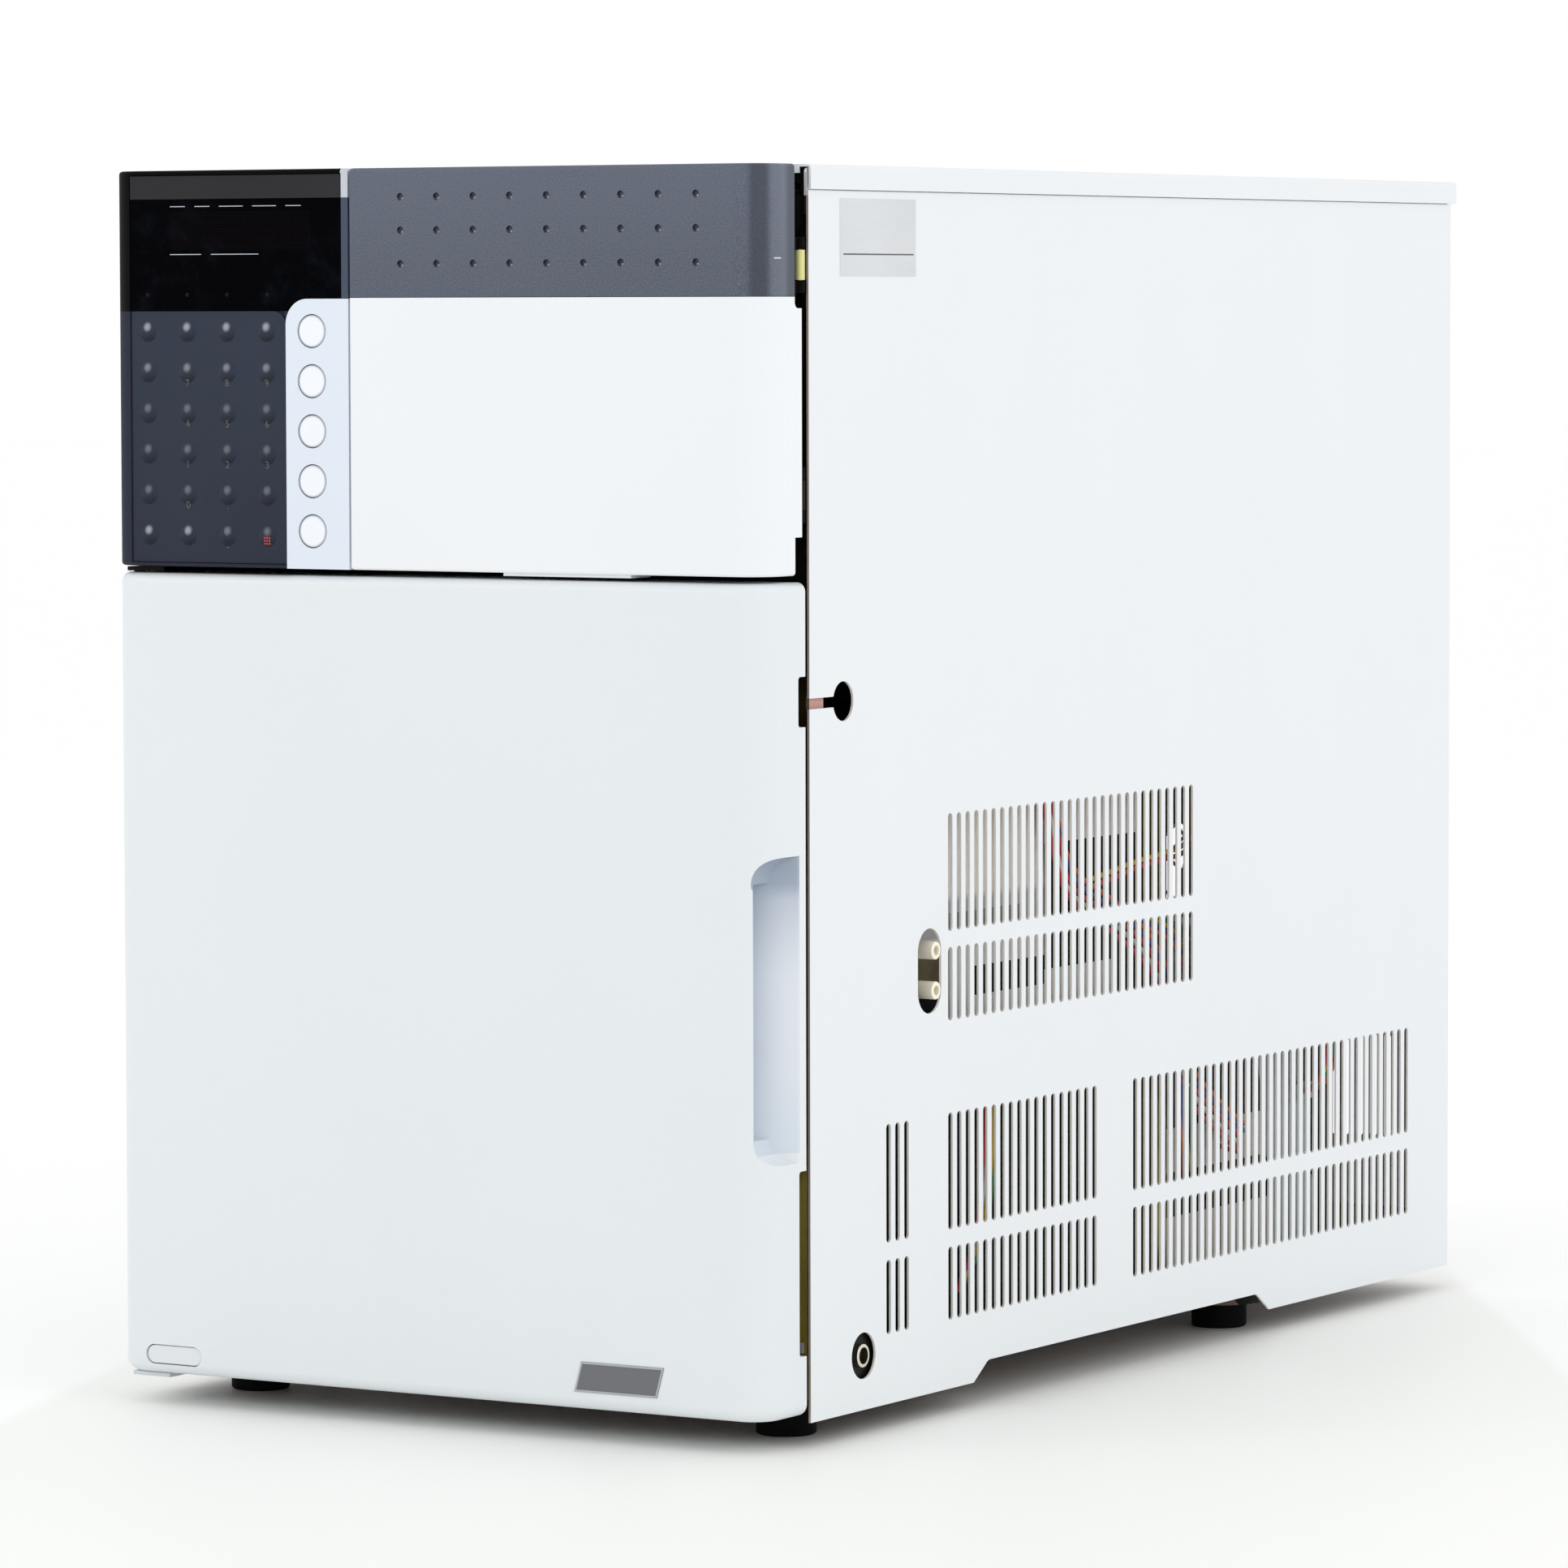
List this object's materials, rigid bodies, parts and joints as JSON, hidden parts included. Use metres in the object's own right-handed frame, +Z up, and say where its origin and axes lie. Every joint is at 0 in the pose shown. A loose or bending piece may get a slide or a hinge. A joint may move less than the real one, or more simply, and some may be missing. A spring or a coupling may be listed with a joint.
{
  "type": "autosampler",
  "caption": "Bench autosampler for liquid chromatography: keypad console, hinged cover and door, cooled sample chamber with a needle gantry, injection valve and measuring pump.",
  "frame": {"origin": "on the floor under the middle of the casing's length and width", "axes": "+X to the right as seen from the front, +Y from the front to the back, +Z up"},
  "size_m": [0.26, 0.5, 0.415],
  "materials": {
    "casing_paint": "fine textured powder paint, cool white",
    "zinc_sheet": "yellow passivated zinc plate",
    "door_white": "fine-grained moulded plastic, cool white",
    "cover_white": "fine-grained moulded plastic, white",
    "dark_band": "satin moulded plastic, dark blue grey",
    "console_dark": "satin moulded plastic, dark blue grey",
    "strip_white": "fine-grained moulded plastic, cool white",
    "button_cap": "satin moulded plastic, near white",
    "keypad_film": "satin printed film, dark blue grey",
    "display_black": "clear glossy window, black behind",
    "power_cap": "satin moulded plastic, light grey",
    "liner_white": "smooth moulded plastic, white",
    "foam_grey": "closed-cell foam, dark grey",
    "rubber_black": "matt black rubber",
    "grey_plastic": "moulded plastic, mid grey",
    "black_plastic": "moulded plastic, black",
    "polished_steel": "ground and polished steel",
    "machined_steel": "turned and milled stainless steel",
    "machined_aluminium": "clear anodised aluminium",
    "drive_black": "black anodised motor housing",
    "supply_case": "plain sheet case",
    "board_green": "circuit board with solder mask",
    "vial_glass": "clear tubular glass",
    "cap_blue": "moulded screw cap, blue",
    "nipple_cream": "moulded fitting, cream",
    "nickel": "nickel-plated ring",
    "wire_colours": "stranded wires, several colours"
  },
  "bodies": {
    "chassis": {"base_pan": "zinc_sheet", "rubber_feet": "rubber_black", "front_frame": "zinc_sheet", "inner_frame": "zinc_sheet", "left_side_panel": "casing_paint", "right_side_panel": "casing_paint", "top_cover": "casing_paint", "rear_panel": "casing_paint", "panel_screws": "polished_steel", "console_housing": "console_dark", "button_strip": "strip_white", "keypad_membrane": "keypad_film", "display_window": "display_black", "console_board": "board_green", "upper_cover_hinges": "zinc_sheet", "door_hinge_brackets": "zinc_sheet", "door_catch": "grey_plastic", "power_switch": "black_plastic", "chamber_liner": "liner_white", "chamber_insulation": "foam_grey", "gantry_rails": "polished_steel", "injection_port": "grey_plastic", "rinse_port": "grey_plastic", "injection_valve": "machined_steel", "valve_drive": "drive_black", "measuring_pump": "machined_steel", "pump_drive": "drive_black", "steel_tubing": "polished_steel", "heat_sink": "machined_aluminium", "fan_frame": "grey_plastic", "fan_guard": "polished_steel", "power_supply": "supply_case", "main_board": "board_green", "power_inlet": "black_plastic", "signal_connectors": "black_plastic", "wiring_looms": "wire_colours", "drain_nipples": "nipple_cream", "outlet_connector": "nickel"},
    "door": {"door_panel": "door_white", "door_liner": "liner_white", "door_gasket": "rubber_black"},
    "power_button": {"power_button": "power_cap"},
    "upper_cover": {"upper_cover": "cover_white", "upper_cover_band": "dark_band"},
    "sample_tray": {"rack_tray": "machined_aluminium", "vial_rack": "grey_plastic", "sample_vials": "vial_glass", "vial_caps": "cap_blue"},
    "cross_beam": {"cross_beam": "machined_aluminium"},
    "needle_carriage": {"needle_carriage": "machined_aluminium"},
    "needle_arm": {"needle_arm": "machined_aluminium", "needle": "polished_steel"},
    "valve_rotor": {"valve_rotor": "machined_steel"},
    "pump_plunger": {"pump_plunger": "machined_steel"},
    "fan_rotor": {"fan_rotor": "grey_plastic"},
    "console_button_1": {"console_button_1": "button_cap"},
    "console_button_2": {"console_button_2": "button_cap"},
    "console_button_3": {"console_button_3": "button_cap"},
    "console_button_4": {"console_button_4": "button_cap"},
    "console_button_5": {"console_button_5": "button_cap"}
  },
  "joints": [
    {"name": "door_hinge", "type": "hinge", "parent": "chassis", "child": "door", "pos_m": [-0.1215, -0.242, 0.1458], "axis": [0, 0, -1], "range_deg": [0, 100]},
    {"name": "power_press", "type": "slide", "parent": "door", "child": "power_button", "axis": [0, 1, 0], "range_m": [0, 0.0025], "stiffness_N_per_m": 500},
    {"name": "upper_cover_hinge", "type": "hinge", "parent": "chassis", "child": "upper_cover", "pos_m": [0.1272, -0.2249, 0.349], "axis": [0, 0, 1], "range_deg": [0, 95]},
    {"name": "tray_slide", "type": "slide", "parent": "chassis", "child": "sample_tray", "axis": [0, -1, 0], "range_m": [0, 0.035]},
    {"name": "beam_slide", "type": "slide", "parent": "chassis", "child": "cross_beam", "axis": [0, 1, 0], "range_m": [-0.12, 0]},
    {"name": "carriage_slide", "type": "slide", "parent": "cross_beam", "child": "needle_carriage", "axis": [1, 0, 0], "range_m": [-0.11, 0]},
    {"name": "needle_lift", "type": "slide", "parent": "needle_carriage", "child": "needle_arm", "axis": [0, 0, -1], "range_m": [0, 0.042]},
    {"name": "valve_turn", "type": "hinge", "parent": "chassis", "child": "valve_rotor", "pos_m": [0.07, -0.2, 0.345], "axis": [0, 1, 0], "range_deg": [0, 60]},
    {"name": "plunger_stroke", "type": "slide", "parent": "chassis", "child": "pump_plunger", "axis": [0, -1, 0], "range_m": [0, 0.012]},
    {"name": "fan_spin", "type": "hinge", "parent": "chassis", "child": "fan_rotor", "pos_m": [0.04, 0.2335, 0.19], "axis": [0, 1, 0], "continuous": true},
    {"name": "console_button_1_press", "type": "slide", "parent": "chassis", "child": "console_button_1", "axis": [0, 1, 0], "range_m": [0, 0.001], "stiffness_N_per_m": 300},
    {"name": "console_button_2_press", "type": "slide", "parent": "chassis", "child": "console_button_2", "axis": [0, 1, 0], "range_m": [0, 0.001], "stiffness_N_per_m": 300},
    {"name": "console_button_3_press", "type": "slide", "parent": "chassis", "child": "console_button_3", "axis": [0, 1, 0], "range_m": [0, 0.001], "stiffness_N_per_m": 300},
    {"name": "console_button_4_press", "type": "slide", "parent": "chassis", "child": "console_button_4", "axis": [0, 1, 0], "range_m": [0, 0.001], "stiffness_N_per_m": 300},
    {"name": "console_button_5_press", "type": "slide", "parent": "chassis", "child": "console_button_5", "axis": [0, 1, 0], "range_m": [0, 0.001], "stiffness_N_per_m": 300}
  ]
}
